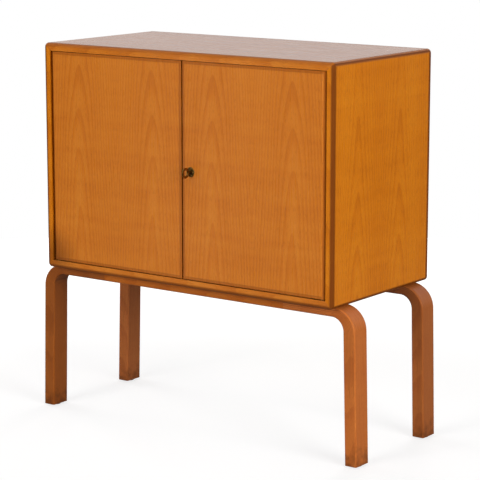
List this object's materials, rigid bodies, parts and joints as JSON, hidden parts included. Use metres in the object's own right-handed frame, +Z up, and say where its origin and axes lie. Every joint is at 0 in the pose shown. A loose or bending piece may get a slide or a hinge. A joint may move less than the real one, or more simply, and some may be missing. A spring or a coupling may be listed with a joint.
{
  "type": "bar cabinet with fold-out shelf",
  "caption": "Low wooden bar cabinet on bent legs: flush doors on pivots, a key lock, shelves inside and a fold-out shelf with a swing-out support on the inside of the right door.",
  "frame": {"origin": "on the floor, at the middle of the overall footprint with the doors closed", "axes": "+Z up, +X to the right seen from the front, the front faces -Y"},
  "size_m": [0.89, 0.418, 0.873],
  "materials": {
    "panel_veneer": "stained veneer under clear lacquer",
    "door_veneer": "stained veneer under clear lacquer",
    "inner_wood": "birch under clear lacquer",
    "back_plywood": "plywood",
    "joint_wood": "bare",
    "leg_wood": "stained bent birch under clear lacquer",
    "brass": "aged",
    "steel": "plain",
    "glide_plastic": "matte",
    "felt": "felt"
  },
  "bodies": {
    "carcass": {"top_panel": "panel_veneer", "bottom_panel": "panel_veneer", "left_side_panel": "panel_veneer", "right_side_panel": "panel_veneer", "partition": "inner_wood", "lower_shelf": "inner_wood", "upper_shelf": "inner_wood", "back_panel": "back_plywood", "mitre_tongues": "joint_wood", "partition_dowels": "joint_wood", "rail_dowels": "joint_wood", "front_left_leg": "leg_wood", "front_right_leg": "leg_wood", "rear_left_leg": "leg_wood", "rear_right_leg": "leg_wood", "front_rail": "leg_wood", "rear_rail": "leg_wood", "shelf_pins": "brass", "left_pivot_plates": "brass", "right_pivot_plates": "brass", "bolt_keepers": "brass", "back_panel_screws": "steel", "leg_screws": "steel", "foot_glides": "glide_plastic"},
    "left_door": {"left_door": "door_veneer", "left_door_pivot_plates": "brass", "bolt_guides": "brass", "lock_strike": "brass"},
    "upper_bolt": {"upper_bolt": "brass"},
    "lower_bolt": {"lower_bolt": "brass"},
    "right_door": {"right_door": "door_veneer", "right_door_pivot_plates": "brass", "lock_case": "brass", "lock_cover": "brass", "escutcheon": "brass", "shelf_rail": "inner_wood", "knuckle_rail": "inner_wood", "fly_pin": "steel", "shelf_hinge_rail_leaves": "brass", "shelf_hinge_pins": "steel", "shelf_rest_pads": "felt"},
    "lock_bolt": {"lock_bolt": "brass"},
    "key": {"key": "brass"},
    "fold_out_shelf": {"fold_out_shelf": "inner_wood", "shelf_hinge_flap_leaves": "brass"},
    "fly_support": {"fly_support": "inner_wood"}
  },
  "joints": [
    {"name": "left_door_swing", "type": "hinge", "parent": "carcass", "child": "left_door", "pos_m": [-0.3695, -0.169, 0.6105], "axis": [0, 0, -1], "range_deg": [0, 100]},
    {"name": "right_door_swing", "type": "hinge", "parent": "carcass", "child": "right_door", "pos_m": [0.3695, -0.169, 0.6105], "axis": [0, 0, 1], "range_deg": [0, 100]},
    {"name": "fold_out_shelf_fold", "type": "hinge", "parent": "right_door", "child": "fold_out_shelf", "pos_m": [0.1955, -0.141, 0.5733], "axis": [-1, 0, 0], "range_deg": [0, 90]},
    {"name": "fly_support_swing", "type": "hinge", "parent": "right_door", "child": "fly_support", "pos_m": [0.1455, -0.131, 0.5505], "axis": [0, 0, 1], "range_deg": [0, 90]},
    {"name": "key_turn", "type": "hinge", "parent": "right_door", "child": "key", "pos_m": [0.0235, -0.179, 0.61], "axis": [0, -1, 0], "range_deg": [0, 180]},
    {"name": "lock_bolt_throw", "type": "slide", "parent": "right_door", "child": "lock_bolt", "axis": [-1, 0, 0], "range_m": [0, 0.008]},
    {"name": "upper_bolt_slide", "type": "slide", "parent": "left_door", "child": "upper_bolt", "axis": [0, 0, 1], "range_m": [0, 0.012]},
    {"name": "lower_bolt_slide", "type": "slide", "parent": "left_door", "child": "lower_bolt", "axis": [0, 0, -1], "range_m": [0, 0.012]}
  ],
  "couplings": [
    {"joint": "key_turn", "follows": "lock_bolt_throw", "rad_per_m": 392.69}
  ]
}
